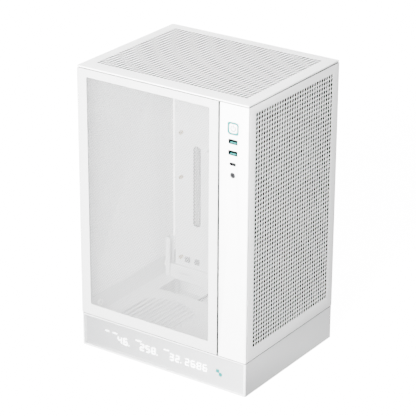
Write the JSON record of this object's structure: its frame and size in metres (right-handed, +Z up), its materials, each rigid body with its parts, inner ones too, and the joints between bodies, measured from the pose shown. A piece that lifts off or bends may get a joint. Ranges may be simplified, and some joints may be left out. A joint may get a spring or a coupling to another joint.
{
  "type": "desktop computer tower",
  "caption": "compact white tower case with a mesh front door, perforated side and top, a column of front controls and a display band in its base",
  "frame": {"origin": "centre of the footprint, on the surface that the feet stand on", "axes": "+Z up, -Y the front with the door and the display, +X the perforated side at the right of the front"},
  "size_m": [0.29, 0.232, 0.44],
  "materials": {
    "panel_white": "white powder coat with a fine orange peel",
    "door_white": "white powder coat, a shade greyer than the covers",
    "chassis_white": "white powder coat on folded sheet steel",
    "mesh_white": "white powder coat on finely perforated steel",
    "moulded_white": "white ABS with a satin finish",
    "base_white": "pale grey-white ABS with a satin finish",
    "button_white": "white ABS key cap",
    "display_glass": "polished milky acrylic",
    "display_mask": "grey mask on the display board",
    "lit_white": "lit white light guide",
    "lit_cyan": "lit cyan light guide",
    "foot_rubber": "matt black rubber",
    "lead_black": "black cable sheath",
    "black_plastic": "black nylon",
    "port_blue": "teal port insert",
    "bright_steel": "nickel-plated steel",
    "port_steel": "black nickel-plated port shell",
    "circuit_board": "green solder mask on glass fibre board",
    "plated_brass": "plain turned brass",
    "filter_cloth": "fine woven dark nylon",
    "socket_nylon": "natural nylon"
  },
  "bodies": {
    "chassis": {"base_shell": "base_white", "base_screws": "bright_steel", "rubber_feet": "foot_rubber", "display_window": "display_glass", "display_board": "display_mask", "display_segments": "lit_white", "status_lamp": "lit_cyan", "ribbon_connectors": "black_plastic", "display_lead": "lead_black", "chassis_floor": "chassis_white", "front_frame": "chassis_white", "rear_frame": "chassis_white", "bottom_left_rail": "chassis_white", "bottom_right_rail": "chassis_white", "top_left_rail": "chassis_white", "top_right_rail": "chassis_white", "motherboard_tray": "chassis_white", "tray_foot": "chassis_white", "tray_post": "chassis_white", "standoffs": "plated_brass", "tray_grommets": "foot_rubber", "slot_covers": "chassis_white", "slot_cover_screws": "bright_steel", "psu_bracket": "chassis_white", "side_fan_bracket": "chassis_white", "top_fan_bracket": "chassis_white", "bracket_screws": "bright_steel", "stud_sockets": "socket_nylon", "io_column": "moulded_white", "io_board": "circuit_board", "io_board_screws": "bright_steel", "usb_a_shells": "port_steel", "usb_a_tongues": "port_blue", "usb_c_shell": "port_steel", "usb_c_tongue": "black_plastic", "audio_jack": "black_plastic", "button_light_ring": "lit_cyan", "power_switch": "black_plastic", "front_io_lead": "lead_black", "header_plugs": "black_plastic", "cable_clips": "black_plastic", "ac_inlet": "black_plastic", "ac_inlet_pins": "plated_brass", "ac_extension_lead": "lead_black", "psu_plug": "black_plastic"},
    "power_button": {"power_button": "button_white", "switch_plunger": "black_plastic"},
    "door": {"door_frame": "door_white", "door_mesh": "mesh_white", "door_studs": "bright_steel"},
    "right_side": {"right_panel": "panel_white", "right_panel_studs": "bright_steel", "right_dust_filter": "filter_cloth"},
    "left_side": {"left_panel": "panel_white", "left_panel_studs": "bright_steel"},
    "top": {"top_cover": "panel_white", "top_cover_studs": "bright_steel", "top_dust_filter": "filter_cloth"},
    "back": {"back_panel": "panel_white", "back_panel_studs": "bright_steel"}
  },
  "joints": [
    {"name": "power_button_press", "type": "slide", "parent": "chassis", "child": "power_button", "axis": [0, 1, 0], "range_m": [0, 0.0008], "stiffness_N_per_m": 1500, "springref_m": -0.0006},
    {"name": "door_pull", "type": "slide", "parent": "chassis", "child": "door", "axis": [0, -1, 0], "range_m": [0, 0.06]},
    {"name": "right_side_pull", "type": "slide", "parent": "chassis", "child": "right_side", "axis": [1, 0, 0], "range_m": [0, 0.06]},
    {"name": "left_side_pull", "type": "slide", "parent": "chassis", "child": "left_side", "axis": [-1, 0, 0], "range_m": [0, 0.06]},
    {"name": "top_lift", "type": "slide", "parent": "chassis", "child": "top", "axis": [0, 0, 1], "range_m": [0, 0.06]},
    {"name": "back_pull", "type": "slide", "parent": "chassis", "child": "back", "axis": [0, 1, 0], "range_m": [0, 0.06]}
  ]
}
